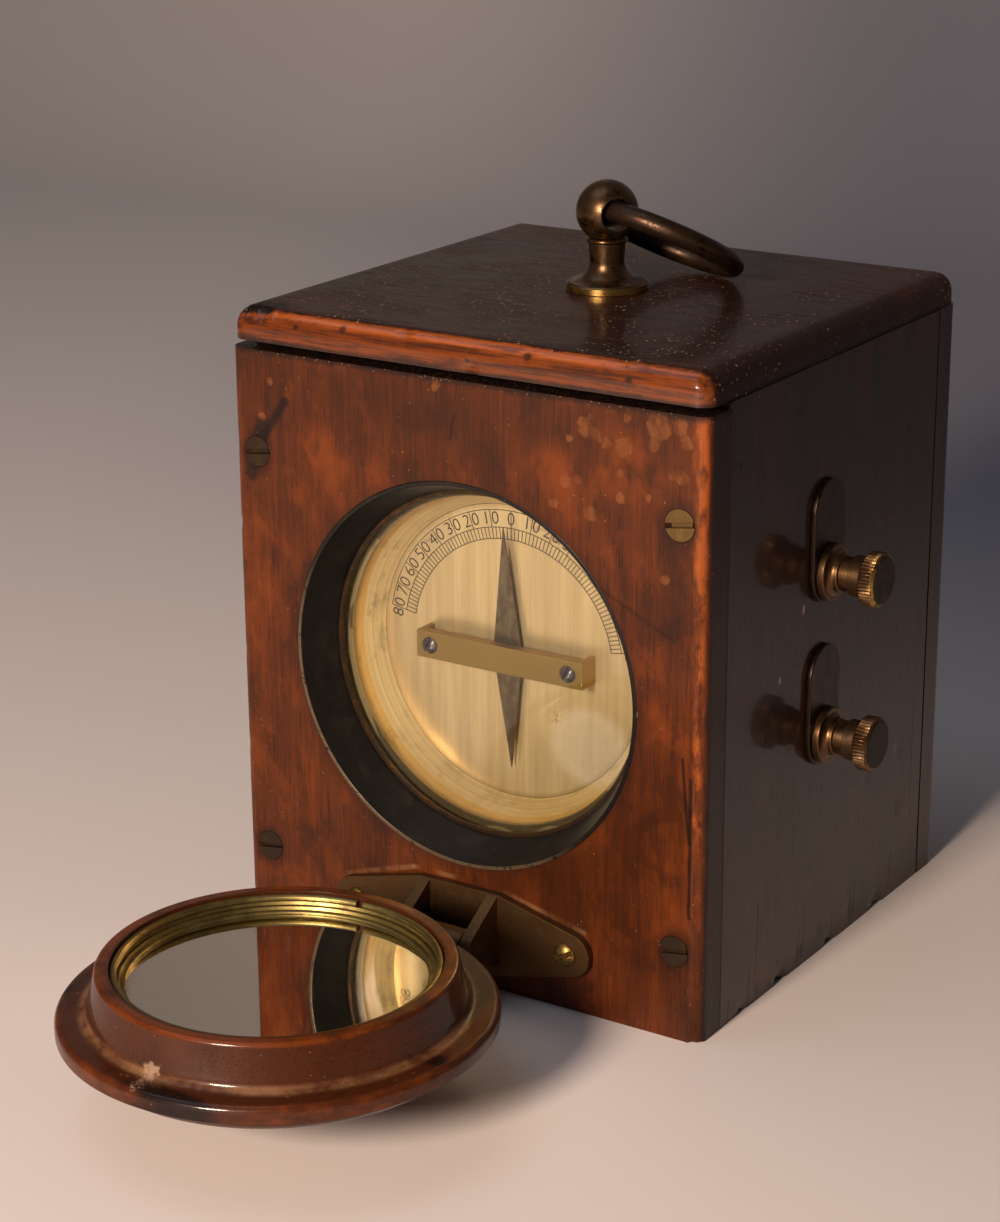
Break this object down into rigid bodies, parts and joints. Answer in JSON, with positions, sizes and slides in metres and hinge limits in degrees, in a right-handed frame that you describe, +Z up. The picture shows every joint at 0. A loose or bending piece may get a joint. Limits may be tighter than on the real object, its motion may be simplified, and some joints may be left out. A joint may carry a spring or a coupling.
{
  "type": "galvanometer",
  "caption": "Portable galvanometer in a hardwood box, with a recessed dial and pivoted needle, a hinged mirror cover, a lifting ring and screw terminals.",
  "frame": {"origin": "middle of the underside of the case", "axes": "+Z up, the dial on the front face towards -Y, the terminals on the right-hand face towards +X"},
  "size_m": [0.112, 0.1904, 0.1422],
  "materials": {
    "wood_front": "worn french polish",
    "wood_side": "dark polish",
    "wood_lid": "dark polish",
    "wood_cover": "gloss polish",
    "dark_brass": "tarnished",
    "brass": "lacquered",
    "gold_brass": "bright",
    "dial_gold": "brushed and silvered gold",
    "bronze": "dark bronzed",
    "steel": "blued",
    "black_lacquer": "gloss",
    "glass": "clear",
    "mirror": "silvered glass",
    "coil_silk": "silk covered wire",
    "bobbin": "ebonite"
  },
  "bodies": {
    "case": {"front_panel": "wood_front", "back_panel": "wood_side", "left_side": "wood_side", "right_side": "wood_side", "base_board": "wood_side", "lid": "wood_lid", "front_panel_screws": "dark_brass", "back_panel_screws": "dark_brass", "ring_post": "dark_brass", "hinge_pin": "dark_brass", "drum_screws": "dark_brass", "ring_post_washer": "brass", "ring_post_nut": "brass", "glass_bezel": "brass", "movement_drum": "brass", "bridge_bar": "brass", "movement_pillars": "brass", "back_cock": "brass", "upper_terminal_post": "brass", "upper_inner_washer": "brass", "upper_inner_nut": "brass", "lower_terminal_post": "brass", "lower_inner_washer": "brass", "lower_inner_nut": "brass", "hinge_bracket_screws": "gold_brass", "dial_plate": "dial_gold", "hinge_bracket": "bronze", "upper_terminal_plate": "bronze", "lower_terminal_plate": "bronze", "bridge_screws": "steel", "back_cock_screws": "steel", "bore_liner": "black_lacquer", "dial_glass": "glass", "left_winding": "coil_silk", "right_winding": "coil_silk", "upper_lead_wire": "coil_silk", "lower_lead_wire": "coil_silk", "left_bobbin": "bobbin", "right_bobbin": "bobbin"},
    "cover": {"cover_body": "wood_cover", "cover_mirror": "mirror", "mirror_bezel": "brass", "mirror_spring_ring": "gold_brass", "hinge_arm": "bronze", "hinge_arm_screws": "dark_brass"},
    "needle": {"pointer": "steel", "pointer_arbor": "steel", "magnet_needle": "steel"},
    "ring": {"carrying_ring": "dark_brass"},
    "upper_collar": {"upper_clamp_collar": "brass"},
    "upper_nut": {"upper_thumb_nut": "gold_brass"},
    "lower_collar": {"lower_clamp_collar": "brass"},
    "lower_nut": {"lower_thumb_nut": "gold_brass"}
  },
  "joints": [
    {"name": "cover_hinge", "type": "hinge", "parent": "case", "child": "cover", "pos_m": [0, -0.0565, 0.0116], "axis": [-1, 0, 0], "range_deg": [0, 90]},
    {"name": "needle_swing", "type": "hinge", "parent": "case", "child": "needle", "pos_m": [0, -0.0325, 0.0595], "axis": [0, 1, 0], "range_deg": [-75, 79]},
    {"name": "ring_swing", "type": "hinge", "parent": "case", "child": "ring", "pos_m": [0.001, 0, 0.1364], "axis": [0.788, -0.6157, 0], "range_deg": [0, 234.1]},
    {"name": "upper_collar_slide", "type": "slide", "parent": "case", "child": "upper_collar", "axis": [1, 0, 0], "range_m": [0, 0.0021]},
    {"name": "upper_nut_turn", "type": "hinge", "parent": "upper_collar", "child": "upper_nut", "pos_m": [0.05, -0.0049, 0.0766], "axis": [1, 0, 0], "range_deg": [0, 1080]},
    {"name": "lower_collar_slide", "type": "slide", "parent": "case", "child": "lower_collar", "axis": [1, 0, 0], "range_m": [0, 0.0021]},
    {"name": "lower_nut_turn", "type": "hinge", "parent": "lower_collar", "child": "lower_nut", "pos_m": [0.05, -0.0049, 0.0452], "axis": [1, 0, 0], "range_deg": [0, 1080]}
  ],
  "couplings": [
    {"joint": "upper_nut_turn", "follows": "upper_collar_slide", "rad_per_m": 8976},
    {"joint": "lower_nut_turn", "follows": "lower_collar_slide", "rad_per_m": 8976}
  ]
}
